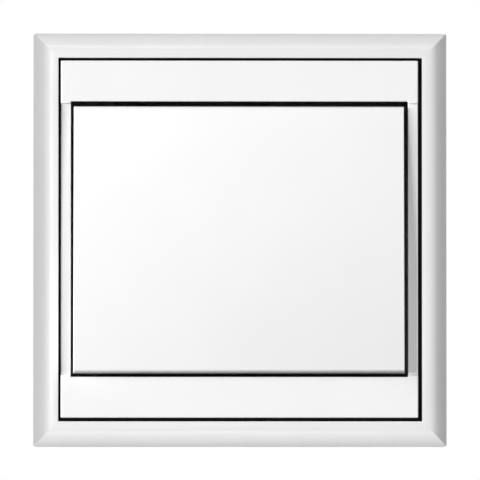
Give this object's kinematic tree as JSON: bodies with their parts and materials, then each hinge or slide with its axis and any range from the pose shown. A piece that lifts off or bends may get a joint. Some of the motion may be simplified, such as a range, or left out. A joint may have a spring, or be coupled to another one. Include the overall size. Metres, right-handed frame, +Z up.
{
  "type": "rocker wall switch",
  "caption": "Square flush wall switch with a wide flat rocker in a plain white frame, over a change-over insert with claws.",
  "frame": {"origin": "centre of the wall plane, behind the middle of the cover frame", "axes": "+X to the right seen from the room, +Y into the wall, +Z up; the rocker faces -Y"},
  "size_m": [0.081, 0.0356, 0.081],
  "materials": {
    "white_plastic": "smooth, satin gloss",
    "grey_plastic": "fine matt",
    "dark_plastic": "fine matt",
    "zinc_steel": "zinc plated",
    "spring_steel": "bright drawn",
    "brass_strip": "stamped strip",
    "copper_strip": "stamped strip",
    "silver_contact": "polished"
  },
  "bodies": {
    "insert": {"cover_frame": "white_plastic", "centre_plate": "white_plastic", "support_ring": "zinc_steel", "base_housing": "grey_plastic", "base_cover": "grey_plastic", "ring_rivet_upper_left": "zinc_steel", "ring_rivet_upper_right": "zinc_steel", "ring_rivet_lower_left": "zinc_steel", "ring_rivet_lower_right": "zinc_steel", "common_contact": "brass_strip", "contact_strip_upper": "brass_strip", "contact_strip_lower": "brass_strip", "fixed_contact_upper": "silver_contact", "fixed_contact_lower": "silver_contact", "clamp_spring_upper": "spring_steel", "clamp_spring_lower": "spring_steel", "clamp_spring_common": "spring_steel"},
    "rocker": {"rocker_cap": "white_plastic", "rocker_carrier": "grey_plastic", "plunger_spring": "spring_steel"},
    "plunger": {"plunger": "dark_plastic"},
    "contact_lever": {"contact_lever": "copper_strip", "moving_contact_upper": "silver_contact", "moving_contact_lower": "silver_contact"},
    "release_lever_upper": {"release_lever_upper": "dark_plastic"},
    "release_lever_lower": {"release_lever_lower": "dark_plastic"},
    "release_lever_common": {"release_lever_common": "dark_plastic"},
    "claw_left": {"claw_left": "zinc_steel"},
    "claw_screw_left": {"claw_screw_left": "zinc_steel"},
    "claw_nut_left": {"claw_nut_left": "zinc_steel"},
    "claw_right": {"claw_right": "zinc_steel"},
    "claw_screw_right": {"claw_screw_right": "zinc_steel"},
    "claw_nut_right": {"claw_nut_right": "zinc_steel"}
  },
  "joints": [
    {"name": "rocker_hinge", "type": "hinge", "parent": "insert", "child": "rocker", "pos_m": [0, -0.005, 0], "axis": [1, 0, 0], "range_deg": [0, 7]},
    {"name": "contact_lever_hinge", "type": "hinge", "parent": "insert", "child": "contact_lever", "pos_m": [0, 0.0082, 0], "axis": [1, 0, 0], "range_deg": [-12, 0]},
    {"name": "plunger_slide", "type": "slide", "parent": "rocker", "child": "plunger", "axis": [0, -0.9981, 0.061], "range_m": [0, 0.001], "stiffness_N_per_m": 400, "springref_m": -0.002, "deforming": ["plunger_spring"]},
    {"name": "release_lever_upper_slide", "type": "slide", "parent": "insert", "child": "release_lever_upper", "axis": [0, -1, 0], "range_m": [0, 0.0012], "stiffness_N_per_m": 500, "springref_m": -0.001},
    {"name": "release_lever_lower_slide", "type": "slide", "parent": "insert", "child": "release_lever_lower", "axis": [0, -1, 0], "range_m": [0, 0.0012], "stiffness_N_per_m": 500, "springref_m": -0.001},
    {"name": "release_lever_common_slide", "type": "slide", "parent": "insert", "child": "release_lever_common", "axis": [0, -1, 0], "range_m": [0, 0.0012], "stiffness_N_per_m": 500, "springref_m": -0.001},
    {"name": "claw_screw_left_turn", "type": "hinge", "parent": "insert", "child": "claw_screw_left", "pos_m": [-0.0252, 0, 0], "axis": [0, 1, 0], "range_deg": [0, 2160]},
    {"name": "claw_nut_left_slide", "type": "slide", "parent": "insert", "child": "claw_nut_left", "axis": [0, -1, 0], "range_m": [0, 0.003]},
    {"name": "claw_left_hinge", "type": "hinge", "parent": "insert", "child": "claw_left", "pos_m": [-0.0209, 0.0002, 0], "axis": [0, 0, 1], "range_deg": [0, 15]},
    {"name": "claw_screw_right_turn", "type": "hinge", "parent": "insert", "child": "claw_screw_right", "pos_m": [0.0252, 0, 0], "axis": [0, 1, 0], "range_deg": [0, 2160]},
    {"name": "claw_nut_right_slide", "type": "slide", "parent": "insert", "child": "claw_nut_right", "axis": [0, -1, 0], "range_m": [0, 0.003]},
    {"name": "claw_right_hinge", "type": "hinge", "parent": "insert", "child": "claw_right", "pos_m": [0.0209, 0.0002, 0], "axis": [0, 0, -1], "range_deg": [0, 15]}
  ],
  "couplings": [
    {"joint": "contact_lever_hinge", "follows": "rocker_hinge", "ratio": -1.714},
    {"joint": "claw_screw_left_turn", "follows": "claw_nut_left_slide", "rad_per_m": 12566},
    {"joint": "claw_left_hinge", "follows": "claw_nut_left_slide", "rad_per_m": 87.266},
    {"joint": "claw_screw_right_turn", "follows": "claw_nut_right_slide", "rad_per_m": 12566},
    {"joint": "claw_right_hinge", "follows": "claw_nut_right_slide", "rad_per_m": 87.266}
  ]
}
